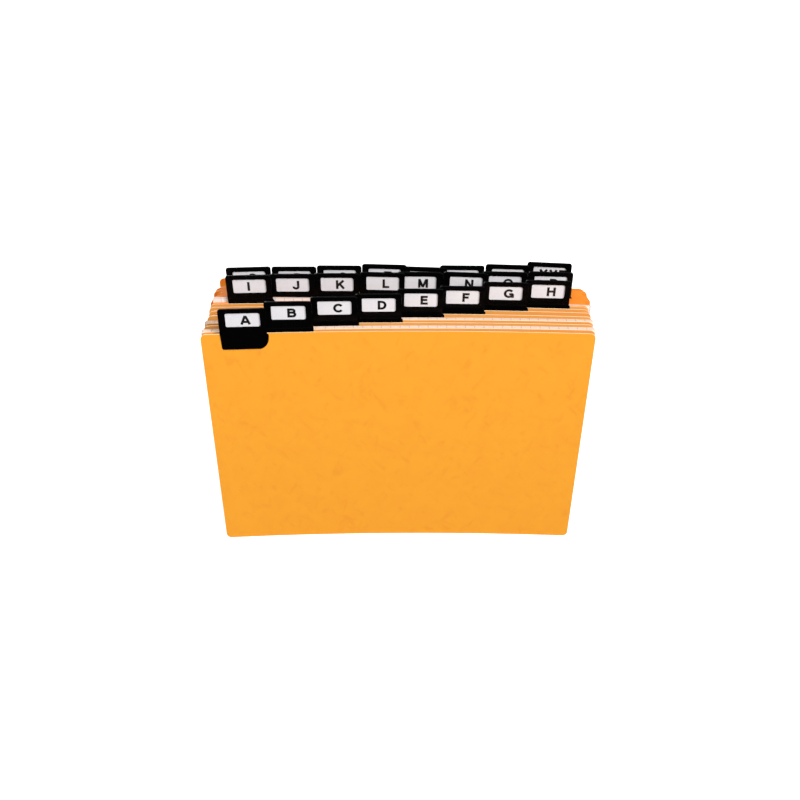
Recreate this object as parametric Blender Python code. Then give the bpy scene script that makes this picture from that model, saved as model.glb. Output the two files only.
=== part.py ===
"""A-Z guide cards and ruled record cards of an A5 card file, standing on edge as one loose pack.

Frame: metres, +Z up, +X to the reader's right, the fronts of the cards facing -Y. The origin is on the
table, under the middle of the pack. Leaf means any card that stands in the pack, guide or record card.
"""

import math

import bmesh
import bpy
from mathutils import Matrix, Vector

MM = 0.001

# A5 cards, landscape
CARD_WIDTH = 210 * MM
CARD_HEIGHT = 148 * MM
BOARD_THICKNESS = 0.4 * MM
BOARD_CORNER = 3 * MM
PAPER_THICKNESS = 0.25 * MM
PAPER_CORNER = 0.6 * MM

# black tab, measured from the card's top edge and from the middle of its own width
TAB_WIDTH = 25.7 * MM
TAB_STEP = 0.75 * MM  # the part above the card is this much narrower on its right
TAB_TAPER = 0.5 * MM  # the left side leans in by this much at its foot
TAB_RISE = 16.1 * MM
TAB_GRIP = 8.9 * MM
TAB_THICKNESS = 0.95 * MM
TAB_TOP_CORNER = 1.5 * MM
TAB_FOOT_CORNER = 1 * MM
TAB_SWEEP = (5.5 * MM, 7.5 * MM)  # width and height of the big rounded corner at the lower right
SLOT_CLEARANCE = 0.06 * MM
SLOT_ROOF = 2.2 * MM
WINDOW_WIDTH = 18.1 * MM
WINDOW_HEIGHT = 8.25 * MM
WINDOW_LEFT = 3.75 * MM
WINDOW_BASE = 5.2 * MM
WINDOW_DEPTH = 0.4 * MM
WINDOW_CORNER = 0.9 * MM

# eight tab positions from left to right, used three times over
TAB_POSITIONS = 8
TAB_PITCH = 23.6 * MM
FIRST_TAB = -0.5 * (TAB_POSITIONS - 1) * TAB_PITCH
LETTERS = [*"ABCDEFGHIJKLMNOPQRSTUVW", "XYZ"]

# how far back each guide's left and right ends stand, in mm; the pack fans out to the left
LOOSE_ENDS = {
    "A": (0, 7.6), "B": (2.3, 11), "C": (8.6, 16.5), "D": (11.3, 19.4), "E": (19, 24.7),
    "F": (24, 28.8), "G": (28, 32.4), "H": (31.5, 35.2), "I": (33, 36.2), "J": (35.6, 37.8),
    "XYZ": (60.7, 54.9),
}
CLOSE_PITCH = 1.15 * MM  # guides K to W follow one another closely
BOW_FRONT = 3.1 * MM  # the middle of guide A stands this far behind its ends
BOW_REAR = 2.2 * MM  # and so do the middles of guide J and all behind it
SIDE_DRIFT = 1.2 * MM  # the rearmost guide stands this much further right than the front one
# the guides were never knocked level at their sides: mm to the right
SIDE_SHIFT = {
    "G": -0.7, "H": -0.8, "I": -0.7, "J": -1.4, "K": -1.4, "L": -1.3, "M": -1.2, "P": 1.2, "R": 0.6,
    "S": -1.9, "T": -1.8, "V": -1.6, "XYZ": -1.3,
}

# each tab was clipped on by hand: mm to the right, mm up, and degrees of tilt, left side down
TAB_SET = {
    "A": (0.8, -0.9, 0), "B": (0.75, 1.4, -0.8), "C": (0.9, 0.3, 0), "D": (0.7, 0.3, 0),
    "E": (-0.4, -0.4, 0), "F": (-1.3, -1, 0), "G": (-1.3, -0.2, 0), "H": (-1.6, -0.1, 0),
    "I": (-0.4, 1, 0.8), "J": (-0.8, 0.3, 0), "K": (0, 0.1, 0), "L": (1.4, 0.2, -0.8), "M": (-1.5, 0.1, 0),
    "N": (0.3, -0.4, -1.2), "O": (-1.5, -0.1, 0), "P": (0.2, -0.1, 0), "Q": (-2.2, 0.2, 1.5),
    "R": (-1, -0.2, 0), "S": (0.45, -0.1, 0), "T": (1.7, 0.2, -1), "U": (0.8, -1.8, -1.2),
    "V": (-1.5, -1.1, 0.6), "W": (0.2, -0.6, -0.4), "XYZ": (0.3, -0.3, 0),
}

# record cards behind three of the guides: how many, mm from one to the next, the first one's distance in
# mm behind the guide at its left and right ends, mm to the right, and degrees of turn, left end up
RECORD_STACKS = {
    "B": (5, 0.55, 0.7, 0.7, 0, 0),
    "D": (5, 0.45, 0.7, 0.7, 0, 0),
    "I": (2, 0.5, 1.1, 0.5, -1.2, 0.75),
}
RECORD_SCATTER = 0.3 * MM  # every second record card stands this much to one side

# leaves bend in flat strips of this width, so that tabs and cards follow the same facets
STRIP = 15 * MM
HALF_WIDTH = CARD_WIDTH / 2

COLOURS = {
    "pressboard": ((0.98, 0.40, 0.035), 0.55, 0.0),
    "black_plastic": ((0.008, 0.008, 0.009), 0.25, 0.0),
    "record_paper": ((0.90, 0.86, 0.80), 0.80, 0.0),
}


def make_material(name):
    colour, roughness, metallic = COLOURS[name]
    material = bpy.data.materials.new(name)
    material.use_nodes = True
    shader = material.node_tree.nodes["Principled BSDF"]
    shader.inputs["Base Color"].default_value = (*colour, 1.0)
    shader.inputs["Roughness"].default_value = roughness
    shader.inputs["Metallic"].default_value = metallic
    return material


def arc(centre_x, centre_z, radius_x, radius_z, start, steps):
    """Points of a quarter ellipse that begins at start degrees and runs anticlockwise."""
    points = []
    for step in range(steps + 1):
        angle = math.radians(start + 90 * step / steps)
        points.append((centre_x + radius_x * math.cos(angle), centre_z + radius_z * math.sin(angle)))
    return points


def rounded_rectangle(left, base, width, height, radius, steps):
    right, top = left + width, base + height
    points = arc(right - radius, top - radius, radius, radius, 0, steps)
    points += arc(left + radius, top - radius, radius, radius, 90, steps)
    points += arc(left + radius, base + radius, radius, radius, 180, steps)
    points += arc(right - radius, base + radius, radius, radius, 270, steps)
    return points


def slab(outline, front, back):
    """Closed solid from front to back over an outline in XZ, given anticlockwise as seen from -Y."""
    bm = bmesh.new()
    near = [bm.verts.new((x, front, z)) for x, z in outline]
    far = [bm.verts.new((x, back, z)) for x, z in outline]
    bm.faces.new(near)
    bm.faces.new(far[::-1])
    for index, vertex in enumerate(near):
        following = (index + 1) % len(near)
        bm.faces.new((vertex, far[index], far[following], near[following]))
    bmesh.ops.recalc_face_normals(bm, faces=bm.faces)
    return bm


def mesh_from(bm, name):
    mesh = bpy.data.meshes.new(name)
    bm.to_mesh(mesh)
    bm.free()
    return mesh


def cut(body, tools):
    """Mesh of a body after the tools have been cut away from it."""
    holder = bpy.data.objects.new("tab_blank", body)
    bpy.context.scene.collection.objects.link(holder)
    cutters = []
    for tool in tools:
        cutter = bpy.data.objects.new("tab_cutter", tool)
        bpy.context.scene.collection.objects.link(cutter)
        cutters.append(cutter)
        modifier = holder.modifiers.new("cut", "BOOLEAN")
        modifier.operation = "DIFFERENCE"
        modifier.object = cutter
    evaluated = holder.evaluated_get(bpy.context.evaluated_depsgraph_get())
    result = bpy.data.meshes.new_from_object(evaluated)
    for thing in [holder, *cutters]:
        bpy.data.objects.remove(thing)
    return result


def tab_outline():
    left, right = -TAB_WIDTH / 2, TAB_WIDTH / 2
    sweep_x, sweep_z = TAB_SWEEP
    ledge = sweep_z - TAB_GRIP
    upper_right = right - TAB_STEP
    points = [(right, ledge), (right, 0), (upper_right, TAB_STEP)]
    top, foot = TAB_TOP_CORNER, TAB_FOOT_CORNER
    points += arc(upper_right - top, TAB_RISE - top, top, top, 0, 3)
    points += arc(left + top, TAB_RISE - top, top, top, 90, 3)
    points += arc(left + TAB_TAPER + foot, foot - TAB_GRIP, foot, foot, 180, 2)
    points += arc(right - sweep_x, ledge, sweep_x, sweep_z, 270, 6)[:-1]
    return points


def tab_blank():
    """Flat tab: a plate with a slot from below for the card, and a pocket for the label in its front."""
    body = mesh_from(slab(tab_outline(), -TAB_THICKNESS / 2, TAB_THICKNESS / 2), "tab_body")
    half_slot = BOARD_THICKNESS / 2 + SLOT_CLEARANCE
    side, low = TAB_WIDTH, -2 * TAB_GRIP
    slot_outline = [(-side, low), (side, low), (side, SLOT_ROOF), (-side, SLOT_ROOF)]
    slot = mesh_from(slab(slot_outline, -half_slot, half_slot), "tab_slot")
    window_left = WINDOW_LEFT - TAB_WIDTH / 2
    window_outline = rounded_rectangle(
        window_left, WINDOW_BASE, WINDOW_WIDTH, WINDOW_HEIGHT, WINDOW_CORNER, 2)
    window = mesh_from(slab(window_outline, -TAB_THICKNESS, WINDOW_DEPTH - TAB_THICKNESS / 2), "tab_window")
    return cut(body, [slot, window])


def guide_ends():
    """Distances of each guide's left and right ends behind the left end of guide A."""
    ends = {}
    left = right = 0.0
    for letter in LETTERS:
        if letter in LOOSE_ENDS:
            left, right = (distance * MM for distance in LOOSE_ENDS[letter])
        else:
            left, right = left + CLOSE_PITCH, right + CLOSE_PITCH
        ends[letter] = (left, right)
    return ends


def guide_bow(index):
    share = min(1.0, index / LETTERS.index("J"))
    return BOW_FRONT + (BOW_REAR - BOW_FRONT) * share


def bent(x, ends, bow):
    """Distance of a leaf's middle plane behind the front of the pack, on strips of constant slope."""
    left, right = ends

    def curve(place):
        across = min(1.0, max(-1.0, place / HALF_WIDTH))
        return left + (right - left) * (across + 1) / 2 + bow * (1 - across * across)

    lower = math.floor(x / STRIP) * STRIP
    share = (x - lower) / STRIP
    return curve(lower) * (1 - share) + curve(lower + STRIP) * share


def add_leaf(name, bm, material, ends, bow):
    """Object made from a flat solid at x, z, folded along the strips and bent to its place in the pack."""
    for step in range(-7, 8):
        geometry = bm.verts[:] + bm.edges[:] + bm.faces[:]
        fold = (step * STRIP, 0, 0)
        bmesh.ops.bisect_plane(bm, geom=geometry, dist=1e-7, plane_co=fold, plane_no=(1, 0, 0))
    for vertex in bm.verts:
        vertex.co.y += bent(vertex.co.x, ends, bow) - PACK_MIDDLE
    mesh = mesh_from(bm, name)
    mesh.materials.clear()
    mesh.materials.append(material)
    leaf = bpy.data.objects.new(name, mesh)
    bpy.context.scene.collection.objects.link(leaf)


def board(width_shift):
    left = width_shift - CARD_WIDTH / 2
    outline = rounded_rectangle(left, 0, CARD_WIDTH, CARD_HEIGHT, BOARD_CORNER, 4)
    return slab(outline, -BOARD_THICKNESS / 2, BOARD_THICKNESS / 2)


def record_card(width_shift, turn):
    """Record card that is turned about its lower right corner, which stays on the table."""
    left = width_shift - CARD_WIDTH / 2
    outline = rounded_rectangle(left, 0, CARD_WIDTH, CARD_HEIGHT, PAPER_CORNER, 1)
    bm = slab(outline, -PAPER_THICKNESS / 2, PAPER_THICKNESS / 2)
    corner = Vector((left + CARD_WIDTH - PAPER_CORNER, 0, 0))
    bmesh.ops.rotate(bm, cent=corner, matrix=Matrix.Rotation(math.radians(turn), 3, "Y"), verts=bm.verts)
    return bm


def placed_tab(blank, letter, drift):
    """Flat tab at its place along the card's top edge."""
    right, up, tilt = TAB_SET.get(letter, (0, 0, 0))
    column = LETTERS.index(letter) % TAB_POSITIONS
    bm = bmesh.new()
    bm.from_mesh(blank)
    bm.transform(Matrix.Rotation(-math.radians(tilt), 4, "Y"))
    place = Vector((FIRST_TAB + column * TAB_PITCH + right * MM + drift, 0, CARD_HEIGHT + up * MM))
    bm.transform(Matrix.Translation(place))
    return bm


def build():
    for thing in list(bpy.data.objects):
        bpy.data.objects.remove(thing)
    materials = {name: make_material(name) for name in COLOURS}
    blank = tab_blank()
    ends = guide_ends()
    for index, letter in enumerate(LETTERS):
        name = letter.lower()
        place = ends[letter]
        bow = guide_bow(index)
        drift = SIDE_DRIFT * (index / (len(LETTERS) - 1) - 0.5)
        shift = SIDE_SHIFT.get(letter, 0) * MM
        add_leaf(f"guide_card_{name}", board(drift + shift), materials["pressboard"], place, bow)
        tab = placed_tab(blank, letter, drift)
        add_leaf(f"index_tab_{name}", tab, materials["black_plastic"], place, bow)
        if letter not in RECORD_STACKS:
            continue
        count, pitch, left_gap, right_gap, right, turn = RECORD_STACKS[letter]
        for number in range(count):
            sheet = record_card(drift + right * MM + RECORD_SCATTER * (number % 2), turn)
            behind = number * pitch
            sheet_place = (place[0] + (left_gap + behind) * MM, place[1] + (right_gap + behind) * MM)
            add_leaf(f"record_card_{name}{number + 1}", sheet, materials["record_paper"], sheet_place, bow)


def pack_middle():
    """Middle of the pack's depth, from the left end of guide A to the rearmost strip of the last guide."""
    last = guide_ends()["XYZ"]
    return max(bent(step * STRIP, last, BOW_REAR) for step in range(-7, 8)) / 2


PACK_MIDDLE = pack_middle()

build()
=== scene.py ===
"""Looks of the A-Z guide card pack: materials, detailed tabs, printed labels, films, floor and light."""

import math

import bpy
import numpy as np
from mathutils import Euler, Matrix, Vector


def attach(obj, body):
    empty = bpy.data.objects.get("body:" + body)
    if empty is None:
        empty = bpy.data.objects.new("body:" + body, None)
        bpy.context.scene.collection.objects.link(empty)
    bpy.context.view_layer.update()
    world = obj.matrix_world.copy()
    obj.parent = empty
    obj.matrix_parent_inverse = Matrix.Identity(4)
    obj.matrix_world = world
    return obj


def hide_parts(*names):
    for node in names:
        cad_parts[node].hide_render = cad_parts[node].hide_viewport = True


MM = 0.001

# the tab's own measures in mm, as in the CAD part: zero is the middle of the card's top edge
TAB_LEFT, TAB_RIGHT, TAB_STEP, TAB_TAPER = -12.85, 12.85, 0.75, 0.5
TAB_RISE, TAB_GRIP = 16.1, 8.9
TAB_TOP_CORNER, TAB_FOOT_CORNER = 1.5, 1.0
TAB_SWEEP = (5.5, 7.5)
TAB_HALF = 0.475
SLOT_ROOF = 2.2
WINDOW_LEFT, WINDOW_BASE, WINDOW_WIDTH, WINDOW_HEIGHT = -9.1, 5.2, 18.1, 8.25
POCKET_FLOOR = -0.075

# what only the looks have, in mm from the same zero
WALL = 0.215  # from the card's middle to each wall that grips it
CROWN_FOOT, SKIRT_HEAD = 0.3, 1.5  # where the front's upper and lower parts lap over each other
SKIRT_SETBACK = 0.05
OPENING_CORNERS = (1.2, 0.8, 0.8, 1.2)
PANE_CORNERS = (1.15, 0.75, 0.75, 1.15)
POCKET_MARGIN, LABEL_MARGIN, PANE_MARGIN = 0.7, 0.5, -0.04  # past the window on every side

# letters
LETTERS = [*"ABCDEFGHIJKLMNOPQRSTUVW", "XYZ"]
CAP_HEIGHT = 5.5
STROKE = 0.245  # width of a letter's strokes, in heights of the letter
INK_THICKNESS = 0.04  # as a share of the stroke's width
LETTER_PLACE = 0.595  # middle of the letter, as a share of the window's width
LETTER_PLACES = {"A": 0.575, "I": 0.47}
LETTER_DROP = 0.2  # below the middle of the window
LETTER_DEPTH = POCKET_FLOOR + 0.003

# how a tab's place is read from its CAD part
FACE_BAND, POCKET_BAND = 0.2, 0.1  # points this near to a face count as part of it, in mm
TILT_LIMIT, TILT_STEP = 3, 0.05  # in degrees

# the record cards' ruling, in metres
RULING = 0.005
LINE_OUTER, LINE_INNER = 0.00022, 0.00012  # a line fades out between these distances from its middle


# ---- node helpers -------------------------------------------------------------------------------


def new_material(name):
    material = bpy.data.materials.new(name)
    material.use_nodes = True
    tree = material.node_tree
    shader = tree.nodes["Principled BSDF"]
    return material, tree, shader


def node(tree, kind, inputs=None, **settings):
    """New node with its settings made, and its inputs set to a value or linked to a socket."""
    made = tree.nodes.new(kind)
    for key, value in settings.items():
        setattr(made, key, value)
    for key, value in (inputs or {}).items():
        if isinstance(value, bpy.types.NodeSocket):
            tree.links.new(value, made.inputs[key])
        else:
            made.inputs[key].default_value = value
    return made


def calc(tree, operation, first, second=0.0, third=0.0):
    made = node(tree, "ShaderNodeMath", {0: first, 1: second, 2: third}, operation=operation)
    return made.outputs[0]


def fade(tree, value, low, high, out_low=0.0, out_high=1.0):
    """Smooth step of a value from low to high."""
    made = node(
        tree, "ShaderNodeMapRange",
        {"Value": value, "From Min": low, "From Max": high, "To Min": out_low, "To Max": out_high},
        interpolation_type="SMOOTHSTEP",
    )
    return made.outputs["Result"]


def blend(tree, share, first, second):
    made = node(tree, "ShaderNodeMix", {0: share, 6: first, 7: second}, data_type="RGBA")
    return made.outputs[2]


def noise(tree, place, scale, detail=3.0, roughness=0.5, distortion=0.0):
    made = node(
        tree, "ShaderNodeTexNoise",
        {"Vector": place, "Scale": scale, "Detail": detail, "Roughness": roughness,
         "Distortion": distortion},
    )
    return made.outputs["Fac"]


def coordinates(tree, kind):
    return node(tree, "ShaderNodeTexCoord").outputs[kind]


def parts_of(tree, vector):
    """Outputs X, Y and Z of a vector."""
    return node(tree, "ShaderNodeSeparateXYZ", {"Vector": vector}).outputs


def own_place(tree, stretch=(1, 1, 1)):
    """Place on the piece in metres, stretched so that neighbouring leaves get patterns of their own."""
    place = {"Vector": coordinates(tree, "Object"), "Scale": stretch}
    return node(tree, "ShaderNodeMapping", place).outputs["Vector"]


def cut_edge(tree):
    """1 on a leaf's narrow cut edges and 0 on its faces, which look along Y."""
    facing = parts_of(tree, coordinates(tree, "Normal"))["Y"]
    return fade(tree, calc(tree, "ABSOLUTE", facing), 0.75, 0.6)


def surface(tree, shader, colour, roughness, specular):
    tree.links.new(colour, shader.inputs["Base Color"])
    tree.links.new(roughness, shader.inputs["Roughness"])
    shader.inputs["Specular IOR Level"].default_value = specular


def bump(tree, shader, height, strength, distance):
    made = node(tree, "ShaderNodeBump", {"Height": height, "Strength": strength, "Distance": distance})
    tree.links.new(made.outputs["Normal"], shader.inputs["Normal"])


# ---- materials ----------------------------------------------------------------------------------


def streaks(tree, slope):
    """Short soft streaks that lean by slope, in radians."""
    turned = node(
        tree, "ShaderNodeMapping",
        {"Vector": coordinates(tree, "Object"), "Rotation": (0, slope, 0), "Scale": (1, 0.12, 0.45)},
        vector_type="TEXTURE",
    )
    return fade(tree, noise(tree, turned.outputs["Vector"], 85, 2.5, 0.5, 0.7), 0.56, 0.78)


def pressboard(name, edge_tones, top_shade):
    """Pressboard with its cut edges in two tones, paler ones as painted highlight; its top band tends to
    the last tone, which is painted shade on the guides behind A.
    """
    material, tree, shader = new_material(name)
    place = own_place(tree, (1, 8, 1))
    strands = noise(tree, place, 150, 4, 0.6, 1.1)
    marks = calc(tree, "MAXIMUM", streaks(tree, 0.75), streaks(tree, -1.1))
    flecks = fade(tree, noise(tree, place, 420, 3, 0.6, 0.4), 0.6, 0.75)
    clouds = fade(tree, noise(tree, place, 95, 3, 0.55, 0.6), 0.35, 0.7)
    marks = calc(tree, "MULTIPLY_ADD", flecks, 0.25, marks)
    face = blend(tree, clouds, (0.968, 0.392, 0.0285, 1), (0.957, 0.377, 0.0277, 1))
    face = blend(tree, calc(tree, "MULTIPLY", marks, 0.38), face, (0.86, 0.275, 0.022, 1))
    # the top band of each board tends to the last tone: painted shade falling into the gaps between guides
    height = parts_of(tree, coordinates(tree, "Generated"))["Z"]
    face = blend(tree, fade(tree, height, 0.955, 0.985, 0.0, 0.75), face, top_shade)
    # the cut edges blend two tones; the pale cream ones are painted highlight for light striking the edges
    # from above
    edge = blend(tree, noise(tree, place, 900, 2), *edge_tones)
    colour = blend(tree, cut_edge(tree), face, edge)
    fibres = noise(tree, own_place(tree, (1, 8, 1.6)), 1900, 4, 0.65)
    surface(tree, shader, colour, fade(tree, fibres, 0.3, 0.7, 0.44, 0.56), 0.30)
    relief = calc(tree, "MULTIPLY_ADD", fibres, 0.5, strands)
    bump(tree, shader, relief, 0.22, 0.00012)
    return material


def record_paper():
    material, tree, shader = new_material("ruled_record_paper")
    place = parts_of(tree, own_place(tree))
    across, down = [calc(tree, "PINGPONG", place[axis], RULING / 2) for axis in ("Z", "X")]
    lines = fade(tree, calc(tree, "MINIMUM", across, down), LINE_OUTER, LINE_INNER)
    mottle = noise(tree, own_place(tree, (1, 20, 1)), 300, 4, 0.6)
    paper = blend(tree, mottle, (0.90, 0.80, 0.72, 1), (0.93, 0.85, 0.78, 1))
    ruled = blend(tree, calc(tree, "MULTIPLY", lines, 0.75), paper, (0.52, 0.48, 0.58, 1))
    # cut edges darker and pinker than the paper: painted shade, tinted by painted orange bounce light from
    # the guides
    edge = blend(tree, mottle, (0.54, 0.30, 0.18, 1), (0.72, 0.45, 0.29, 1))
    edge = blend(tree, calc(tree, "MULTIPLY", lines, 0.45), edge, (0.27, 0.19, 0.16, 1))
    colour = blend(tree, cut_edge(tree), ruled, edge)
    fibres = noise(tree, own_place(tree, (1, 20, 1)), 2400, 3, 0.6)
    surface(tree, shader, colour, fade(tree, fibres, 0.3, 0.7, 0.72, 0.85), 0.2)
    bump(tree, shader, fibres, 0.12, 0.00005)
    return material


def black_plastic():
    material, tree, shader = new_material("black_tab_plastic")
    place = own_place(tree)
    haze = noise(tree, place, 240, 4, 0.6)
    colour = blend(tree, haze, (0.0006, 0.0006, 0.0008, 1), (0.0014, 0.0013, 0.0016, 1))
    surface(tree, shader, colour, fade(tree, haze, 0.3, 0.7, 0.16, 0.26), 0.06)
    bump(tree, shader, noise(tree, place, 1300, 3, 0.5), 0.08, 0.00004)
    return material


def label_paper():
    """White slip, with painted shade at its right end as if it curled away there."""
    material, tree, shader = new_material("label_paper")
    mottle = noise(tree, own_place(tree), 700, 3, 0.6)
    paper = blend(tree, mottle, (0.775, 0.755, 0.78, 1), (0.815, 0.795, 0.82, 1))
    # painted shade over the right end of the flat slip
    painted_curl_shade = fade(tree, parts_of(tree, coordinates(tree, "Generated"))["X"], 0.90, 0.985)
    colour = blend(tree, calc(tree, "MULTIPLY", painted_curl_shade, 0.6), paper, (0.42, 0.42, 0.44, 1))
    surface(tree, shader, colour, fade(tree, mottle, 0.3, 0.7, 0.6, 0.75), 0.2)
    return material


def label_ink():
    material, tree, shader = new_material("label_ink")
    grain = noise(tree, own_place(tree), 2500, 2)
    colour = blend(tree, grain, (0.002, 0.002, 0.0025, 1), (0.006, 0.006, 0.007, 1))
    surface(tree, shader, colour, fade(tree, grain, 0.3, 0.7, 0.5, 0.65), 0.15)
    return material


def window_film():
    """Clear film: what is behind it shows through, under a thin gloss."""
    material, tree, shader = new_material("window_film")
    ripple = noise(tree, own_place(tree), 160, 2, 0.5)
    gloss = node(tree, "ShaderNodeBsdfGlossy", {"Color": (1, 1, 1, 1), "Roughness": 0.06})
    wave = node(tree, "ShaderNodeBump", {"Height": ripple, "Strength": 0.25, "Distance": 0.00005})
    tree.links.new(wave.outputs["Normal"], gloss.inputs["Normal"])
    clear = node(tree, "ShaderNodeBsdfTransparent", {"Color": (1, 1, 1, 1)})
    slant = node(tree, "ShaderNodeLayerWeight", {"Blend": 0.25}).outputs["Facing"]
    share = calc(tree, "MULTIPLY_ADD", slant, 0.07, 0.008)
    mixed = node(tree, "ShaderNodeMixShader", {0: share, 1: clear.outputs[0], 2: gloss.outputs[0]})
    tree.links.new(mixed.outputs[0], tree.nodes["Material Output"].inputs["Surface"])
    tree.nodes.remove(shader)
    return material


# ---- shapes -------------------------------------------------------------------------------------


def arc(centre_x, centre_z, radius_x, radius_z, start, steps, sweep=90):
    """Points along an ellipse that begin at start degrees and run anticlockwise."""
    points = []
    for step in range(steps + 1):
        angle = math.radians(start + sweep * step / steps)
        points.append((centre_x + radius_x * math.cos(angle), centre_z + radius_z * math.sin(angle)))
    return points


def rounded(left, base, width, height, radii):
    """Rectangle with corner radii given for the upper right, upper left, lower left and lower right."""
    right, top = left + width, base + height
    upper_right, upper_left, lower_left, lower_right = radii
    points = arc(right - upper_right, top - upper_right, upper_right, upper_right, 0, 6)
    points += arc(left + upper_left, top - upper_left, upper_left, upper_left, 90, 6)
    points += arc(left + lower_left, base + lower_left, lower_left, lower_left, 180, 6)
    points += arc(right - lower_right, base + lower_right, lower_right, lower_right, 270, 6)
    return points


def window_outline(margin, radii):
    """The window's own outline, or one that lies margin outside it."""
    width, height = WINDOW_WIDTH + 2 * margin, WINDOW_HEIGHT + 2 * margin
    return rounded(WINDOW_LEFT - margin, WINDOW_BASE - margin, width, height, radii)


def crown_outline(foot):
    """Outline of the tab's upper part, from its top down to foot."""
    top, upper_right = TAB_TOP_CORNER, TAB_RIGHT - TAB_STEP
    points = arc(upper_right - top, TAB_RISE - top, top, top, 0, 8)
    points += arc(TAB_LEFT + top, TAB_RISE - top, top, top, 90, 8)
    return [(upper_right, foot), *points, (TAB_LEFT, foot)]


def skirt_outline(head):
    """Outline of the tab's lower part, which grips the card; head is the points that close it above."""
    sweep_x, sweep_z = TAB_SWEEP
    ledge, corner = sweep_z - TAB_GRIP, TAB_FOOT_CORNER
    points = [(TAB_RIGHT, ledge), (TAB_RIGHT, 0), (TAB_RIGHT - TAB_STEP, TAB_STEP), *head]
    points += arc(TAB_LEFT + TAB_TAPER + corner, corner - TAB_GRIP, corner, corner, 180, 5)
    points += arc(TAB_RIGHT - sweep_x, ledge, sweep_x, sweep_z, 270, 14)[:-1]
    return points


def mesh_of(thing):
    """Mesh that a curve object makes, with the object itself taken away again."""
    bpy.context.scene.collection.objects.link(thing)
    evaluated = thing.evaluated_get(bpy.context.evaluated_depsgraph_get())
    mesh = bpy.data.meshes.new_from_object(evaluated)
    bpy.data.objects.remove(thing)
    return mesh


def plate(loops, front, back, round_edge):
    """Flat plate with rounded edges, in mm: the first loop is its outline and any others are holes."""
    curve = bpy.data.curves.new("plate", "CURVE")
    curve.dimensions = "2D"
    curve.fill_mode = "BOTH"
    curve.extrude = (back - front) / 2 - round_edge
    curve.bevel_depth = round_edge
    curve.bevel_resolution = 2
    curve.offset = -round_edge
    for loop in loops:
        spline = curve.splines.new("POLY")
        spline.points.add(len(loop) - 1)
        for point, (x, z) in zip(spline.points, loop):
            point.co = (x, z, 0, 1)
        spline.use_cyclic_u = True
    mesh = mesh_of(bpy.data.objects.new("plate", curve))
    mesh.transform(Matrix.Rotation(math.radians(90), 4, "X"))
    mesh.transform(Matrix.Translation((0, (front + back) / 2, 0)))
    return mesh


def joined(name, meshes, materials):
    """One mesh from several, each with its own material."""
    vertices, faces, owners = [], [], []
    for index, mesh in enumerate(meshes):
        start = len(vertices)
        vertices += [tuple(vertex.co) for vertex in mesh.vertices]
        faces += [[start + corner for corner in face.vertices] for face in mesh.polygons]
        owners += [index] * len(mesh.polygons)
    whole = bpy.data.meshes.new(name)
    whole.from_pydata(vertices, [], faces)
    slots = list(dict.fromkeys(materials))
    for material in slots:
        whole.materials.append(material)
    for face, owner in zip(whole.polygons, owners):
        face.material_index = slots.index(materials[owner])
    whole.validate()
    return whole


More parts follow.
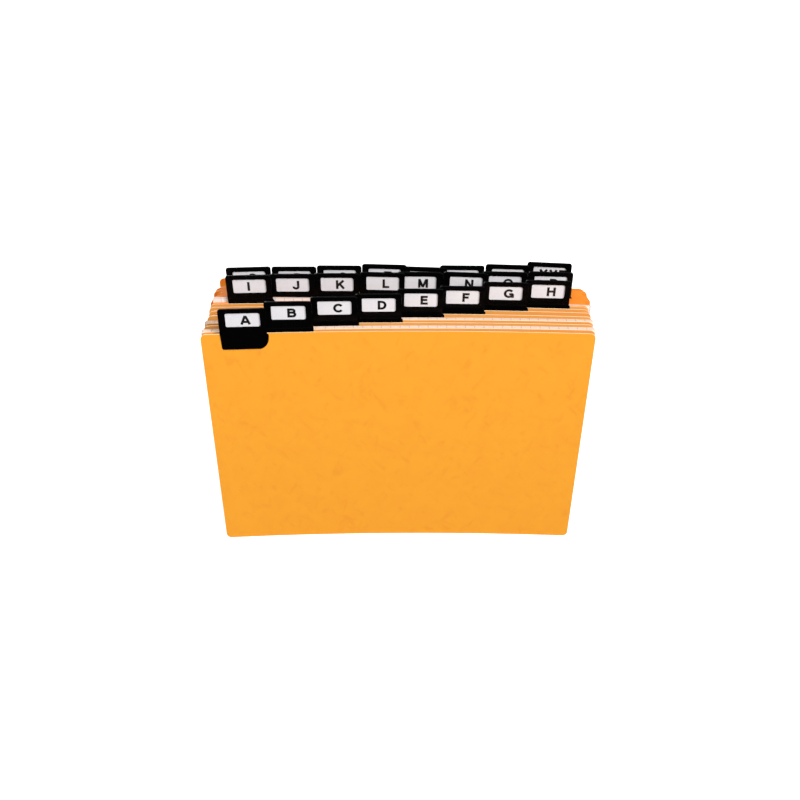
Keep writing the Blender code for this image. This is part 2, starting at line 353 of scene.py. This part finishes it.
def letter_strokes():
    """Middle lines of every letter's strokes, in heights of the letter."""
    low, high = STROKE / 2, 1 - STROKE / 2
    middle, tall = (low + high) / 2, (high - low) / 2
    stem = [(low, 0), (low, 1)]
    ring = arc(0.47, middle, 0.39, tall, 0, 28, 365)
    loop = [[(low, high), (0.48, high)], [(low, 0.46), (0.48, 0.46)]]
    loop.append(arc(0.48, (high + 0.46) / 2, 0.22, (high - 0.46) / 2, -90, 10, 180))
    return {
        "A": [[(0.07, 0), (0.45, 0.96)], [(0.85, 0), (0.47, 0.96)], [(0.2, 0.28), (0.72, 0.28)]],
        "B": [
            stem, [(low, high), (0.48, high)], [(low, 0.54), (0.5, 0.54)], [(low, low), (0.5, low)],
            arc(0.48, (high + 0.54) / 2, 0.2, (high - 0.54) / 2, -90, 10, 180),
            arc(0.5, (0.54 + low) / 2, 0.24, (0.54 - low) / 2, -90, 10, 180),
        ],
        "C": [arc(0.47, middle, 0.39, tall, 38, 20, 284)],
        "D": [
            stem, [(low, high), (0.36, high)], [(low, low), (0.36, low)],
            arc(0.36, middle, 0.38, tall, -90, 14, 180),
        ],
        "E": [stem, [(low, high), (0.7, high)], [(low, 0.53), (0.66, 0.53)], [(low, low), (0.72, low)]],
        "F": [stem, [(low, high), (0.7, high)], [(low, 0.5), (0.62, 0.5)]],
        "G": [
            arc(0.47, middle, 0.39, tall, 38, 20, 300),
            [(0.5, 0.43), (0.9, 0.43)], [(0.86, 0.45), (0.86, 0.02)],
        ],
        "H": [stem, [(0.74, 0), (0.74, 1)], [(low, 0.53), (0.74, 0.53)]],
        "I": [stem],
        "J": [[(0.53, 1), (0.53, 0.3)], arc(0.305, 0.3, 0.225, 0.3 - low, 165, 12, 195)],
        "K": [stem, [(0.78, 0.97), (0.12, 0.34)], [(0.36, 0.6), (0.8, 0.03)]],
        "L": [stem, [(low, low), (0.68, low)]],
        "M": [stem, [(0.88, 0), (0.88, 1)], [(0.12, 0.97), (0.48, 0.06)], [(0.84, 0.97), (0.48, 0.06)]],
        "N": [stem, [(0.74, 0), (0.74, 1)], [(0.1, 0.95), (0.72, 0.05)]],
        "O": [ring],
        "P": [stem, *loop],
        "Q": [ring, [(0.56, 0.26), (0.84, 0)]],
        "R": [stem, *loop, [(0.46, 0.46), (0.72, 0.02)]],
        "S": [
            arc(0.4, (high + 0.51) / 2, 0.29, (high - 0.51) / 2, 25, 14, 245),
            arc(0.4, (0.51 + low) / 2, 0.31, (0.51 - low) / 2, -160, 14, 250),
        ],
        "T": [[(0.38, 0), (0.38, 1)], [(0, high), (0.76, high)]],
        "U": [
            [(low, 1), (low, 0.38)], [(0.74, 1), (0.74, 0.38)],
            arc(0.41, 0.38, 0.33, 0.38 - low, 180, 14, 180),
        ],
        "V": [[(0.07, 1), (0.44, 0.04)], [(0.83, 1), (0.46, 0.04)]],
        "W": [
            [(0.07, 1), (0.33, 0.04)], [(0.61, 0.97), (0.35, 0.04)],
            [(0.61, 0.97), (0.87, 0.04)], [(1.15, 1), (0.89, 0.04)],
        ],
        "X": [[(0.07, 0.02), (0.77, 0.98)], [(0.77, 0.02), (0.07, 0.98)]],
        "Y": [[(0.07, 0.98), (0.41, 0.4)], [(0.75, 0.98), (0.41, 0.4)], [(0.41, 0.46), (0.41, 0)]],
        "Z": [[(0, high), (0.72, high)], [(0, low), (0.72, low)], [(0.64, high), (0.08, low)]],
    }


def letter_mesh(text):
    """Printed letters with flat strokes, one unit high, standing on the origin's right."""
    curve = bpy.data.curves.new("letter", "CURVE")
    curve.dimensions = "3D"
    curve.twist_mode = "Z_UP"
    curve.bevel_depth = STROKE / 2
    curve.bevel_resolution = 1
    curve.use_fill_caps = True
    strokes = letter_strokes()
    start = 0.0
    for letter in text:
        for stroke in strokes[letter]:
            spline = curve.splines.new("POLY")
            spline.points.add(len(stroke) - 1)
            for point, (x, z) in zip(spline.points, stroke):
                point.co = (start + x, z, 0, 1)
        start += max(x for stroke in strokes[letter] for x, _ in stroke) + STROKE
    mesh = mesh_of(bpy.data.objects.new("letter", curve))
    mesh.transform(Matrix.Diagonal((1, 1, INK_THICKNESS, 1)))
    return mesh


def extent(mesh):
    points = np.array([vertex.co for vertex in mesh.vertices])
    return points.min(0), points.max(0)


def tab_frame(part):
    """Where a flat tab stands: its right, back and up directions, and the middle of its card's top edge."""
    points = np.array([vertex.co for vertex in part.data.vertices]) / MM
    # its rear face gives the slope, and the pocket's floor gives the tilt and the middle
    slope = np.polyfit(points[:, 0], points[:, 1], 1)[0]
    for _ in range(3):
        depth = points[:, 1] - slope * points[:, 0]
        rear = points[depth > depth.max() - FACE_BAND]
        slope = np.polyfit(rear[:, 0], rear[:, 1], 1)[0]
    along = np.array((1, slope)) / math.hypot(1, slope)
    back = np.array((-along[1], along[0]))
    depth = points[:, :2] @ back
    middle = (rear[:, :2] @ back).mean() - TAB_HALF
    pocket = points[np.abs(depth - middle - POCKET_FLOOR) < POCKET_BAND]
    across, up = pocket[:, :2] @ along, pocket[:, 2]
    tilts = np.radians(np.arange(-TILT_LIMIT, TILT_LIMIT + TILT_STEP / 5, TILT_STEP))
    tilt = min(tilts, key=lambda angle: np.ptp(up * math.cos(angle) - across * math.sin(angle)))
    right = Vector((along[0] * math.cos(tilt), along[1] * math.cos(tilt), math.sin(tilt)))
    rise = Vector((-along[0] * math.sin(tilt), -along[1] * math.sin(tilt), math.cos(tilt)))
    behind = Vector((back[0], back[1], 0))
    spread = across * math.cos(tilt) + up * math.sin(tilt)
    height = up * math.cos(tilt) - across * math.sin(tilt)
    origin = right * ((spread.min() + spread.max()) / 2 - WINDOW_LEFT - WINDOW_WIDTH / 2)
    origin += rise * ((height.min() + height.max()) / 2 - WINDOW_BASE - WINDOW_HEIGHT / 2)
    origin += behind * middle
    turned = Matrix((right, behind, rise)).transposed().to_4x4()
    return Matrix.Scale(MM, 4) @ Matrix.Translation(origin) @ turned


def placed(name, mesh, matrix, smooth=True):
    """Object at the origin whose mesh has been moved to its place."""
    mesh.transform(matrix)
    if smooth:
        mesh.shade_smooth()
        mesh.set_sharp_from_angle(angle=math.radians(50))
    thing = bpy.data.objects.new(name, mesh)
    bpy.context.scene.collection.objects.link(thing)
    if smooth:
        thing.modifiers.new("normals", "WEIGHTED_NORMAL").keep_sharp = True
    return thing


# ---- the pack -----------------------------------------------------------------------------------


def tab_shell(plastic):
    opening = window_outline(0, OPENING_CORNERS)
    pocket = window_outline(POCKET_MARGIN, (0.6,) * 4)
    crown, upper = crown_outline(CROWN_FOOT), crown_outline(SLOT_ROOF)
    whole = skirt_outline(crown[1:-1])
    skirt = skirt_outline([(TAB_RIGHT - TAB_STEP, SKIRT_HEAD), (TAB_LEFT, SKIRT_HEAD)])
    window_frame = plate([crown, opening], front=-TAB_HALF, back=POCKET_FLOOR, round_edge=0.18)
    front_wall = plate([skirt], front=-TAB_HALF + SKIRT_SETBACK, back=-WALL, round_edge=0.09)
    pocket_back = plate([upper], front=0.03, back=0.36, round_edge=0.05)
    pocket_rim = plate([upper, pocket], front=-0.2, back=0.05, round_edge=0.03)
    rear_wall = plate([whole], front=WALL, back=TAB_HALF, round_edge=0.12)
    plates = [window_frame, front_wall, pocket_back, pocket_rim, rear_wall]
    return joined("tab", plates, [plastic] * len(plates))


def printed(letter):
    """The letter where it stands on its label, in the tab's own measures."""
    mesh = letter_mesh(letter)
    low, high = extent(mesh)
    middle = WINDOW_LEFT + WINDOW_WIDTH * LETTER_PLACES.get(letter, LETTER_PLACE)
    height = WINDOW_BASE + WINDOW_HEIGHT / 2 - LETTER_DROP
    mesh.transform(Matrix.Translation((-(low[0] + high[0]) / 2, -(low[1] + high[1]) / 2, 0)))
    mesh.transform(Matrix.Scale(CAP_HEIGHT, 4))
    mesh.transform(Matrix.Rotation(math.radians(90), 4, "X"))
    mesh.transform(Matrix.Translation((middle, LETTER_DEPTH, height)))
    return mesh


def add_tabs(nodes, materials):
    shell = tab_shell(materials["plastic"])
    slip = window_outline(LABEL_MARGIN, (0.3,) * 4)
    blank = plate([slip], front=POCKET_FLOOR + 0.005, back=0.03, round_edge=0.02)
    pane = window_outline(PANE_MARGIN, PANE_CORNERS)
    film = plate([pane], front=-0.2, back=-0.14, round_edge=0.012)
    for letter in LETTERS:
        name = letter.lower()
        body = f"guide_{name}"
        matrix = tab_frame(nodes[f"index_tab_{name}"])
        tab = placed(f"tab_{name}", shell.copy(), matrix)
        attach(tab, body)
        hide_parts(f"index_tab_{name}")
        inked = joined(f"label_{name}", [blank, printed(letter)], [materials["label"], materials["ink"]])
        label = placed(f"label_{name}", inked, matrix, smooth=False)
        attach(label, body)
        cover = placed(f"film_{name}", film.copy(), matrix)
        cover.data.materials.append(materials["film"])
        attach(cover, body)


def dress_cards(nodes, first, near, far, paper):
    """Guide A has a plain top and A to H have edges lightened by painted highlight; B to H have painted
    shade over their top band, and the rest have plainer orange edges and a deeper painted shade over their
    top band.
    """
    for name, thing in nodes.items():
        if name.startswith("index_tab"):
            continue
        thing.data.materials.clear()
        if name.startswith("record_card"):
            thing.data.materials.append(paper)
        else:
            letter = name.removeprefix("guide_card_")
            board = first if letter == "a" else near if letter < "i" else far
            thing.data.materials.append(board)


# ---- stage --------------------------------------------------------------------------------------


def floor_finish():
    """Shows nearly white, mirrors dark in front and white behind, and throws little light back up."""
    material, tree, shader = new_material("studio_floor")
    shader.inputs["Base Color"].default_value = (0.8, 0.8, 0.8, 1)
    shader.inputs["Roughness"].default_value = 0.9
    shader.inputs["Specular IOR Level"].default_value = 0.0
    shader.inputs["Emission Color"].default_value = (1, 1, 1, 1)
    shader.inputs["Emission Strength"].default_value = 0.75
    behind = fade(tree, parts_of(tree, own_place(tree))["Y"], 0.03, 0.12)
    mirrored = blend(tree, behind, (0.01, 0.01, 0.01, 1), (1, 1, 1, 1))
    path = node(tree, "ShaderNodeLightPath").outputs
    tone = blend(tree, path["Is Glossy Ray"], (0.25, 0.25, 0.25, 1), mirrored)
    dim = node(tree, "ShaderNodeBsdfDiffuse", {"Color": tone}).outputs[0]
    mixed = node(tree, "ShaderNodeMixShader", {0: path["Is Camera Ray"], 1: dim, 2: shader.outputs[0]})
    tree.links.new(mixed.outputs[0], tree.nodes["Material Output"].inputs["Surface"])
    return material


def add_floor():
    """Wide floor just under the cards' lower edges."""
    mesh = bpy.data.meshes.new("studio_floor")
    reach, drop = 6, 0.0002
    corners = [(-reach, -reach), (reach, -reach), (reach, reach), (-reach, reach)]
    mesh.from_pydata([(x, y, -drop) for x, y in corners], [], [(0, 1, 2, 3)])
    mesh.materials.append(floor_finish())
    floor = bpy.data.objects.new("studio_floor", mesh)
    bpy.context.scene.collection.objects.link(floor)


def add_light(name, place, target, size, power):
    lamp = bpy.data.lights.new(name, "AREA")
    lamp.shape = "DISK"
    lamp.size = size
    lamp.energy = power
    thing = bpy.data.objects.new(name, lamp)
    thing.location = place
    thing.rotation_euler = (Vector(target) - Vector(place)).to_track_quat("-Z", "Y").to_euler()
    bpy.context.scene.collection.objects.link(thing)


def add_sky(scene):
    """White where the camera sees it, and a dimmer light on everything else."""
    world = bpy.data.worlds.new("studio")
    world.use_nodes = True
    tree = world.node_tree
    sky = tree.nodes["Background"]
    sky.inputs["Color"].default_value = (1, 1, 1, 1)
    seen = node(tree, "ShaderNodeLightPath").outputs["Is Camera Ray"]
    tree.links.new(calc(tree, "MAXIMUM", seen, 0.355), sky.inputs["Strength"])
    scene.world = world


def add_camera(scene):
    camera = bpy.data.cameras.new("camera")
    camera.sensor_width = 36
    camera.lens = 44.1065
    camera.shift_x = -0.0005625
    camera.shift_y = 0.0005
    camera.clip_start = 0.01
    view = bpy.data.objects.new("camera", camera)
    view.location = (0.008262, -0.465561, 0.427570)
    view.rotation_euler = Euler([math.radians(angle) for angle in (53.6477, -0.3721, 1.2715)])
    scene.collection.objects.link(view)
    scene.camera = view


def add_stage():
    scene = bpy.context.scene
    scene.view_settings.view_transform = "Standard"
    add_sky(scene)
    add_floor()
    add_light("overhead", place=(0.1, -0.65, 1.2), target=(0, 0, 0.1), size=1.0, power=11)
    add_light("key", place=(1.9, -1.2, 1.3), target=(0, 0, 0.12), size=0.7, power=56)
    add_light("fill", place=(-0.6, 1.4, 0.5), target=(0, 0, 0.1), size=0.8, power=14)
    add_camera(scene)


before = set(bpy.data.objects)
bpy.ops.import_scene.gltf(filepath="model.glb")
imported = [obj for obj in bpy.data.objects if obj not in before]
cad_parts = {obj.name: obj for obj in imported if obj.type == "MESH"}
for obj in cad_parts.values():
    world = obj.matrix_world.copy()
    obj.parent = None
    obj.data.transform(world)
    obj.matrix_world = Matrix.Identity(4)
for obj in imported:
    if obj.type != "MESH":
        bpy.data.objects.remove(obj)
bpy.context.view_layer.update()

finishes = {
    "plastic": black_plastic(), "label": label_paper(), "ink": label_ink(), "film": window_film(),
}
# the pale cream edge tones are painted highlight; the plain ones are the board's own orange
painted_edge_highlight = [(1.0, 0.72, 0.42, 1), (1.0, 0.88, 0.62, 1)]
plain = [(0.90, 0.30, 0.03, 1), (0.95, 0.38, 0.05, 1)]
# clean is the board's own tone; the other two are painted shade for the top bands of the guides behind A
clean, near_top_shade, far_top_shade = (0.96, 0.38, 0.027, 1), (0.72, 0.35, 0.10, 1), (0.89, 0.225, 0.018, 1)
dress_cards(
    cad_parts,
    first=pressboard("front_pressboard", painted_edge_highlight, clean),
    near=pressboard("pressboard", painted_edge_highlight, near_top_shade),
    far=pressboard("rear_pressboard", plain, far_top_shade),
    paper=record_paper(),
)
add_tabs(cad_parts, finishes)
add_stage()
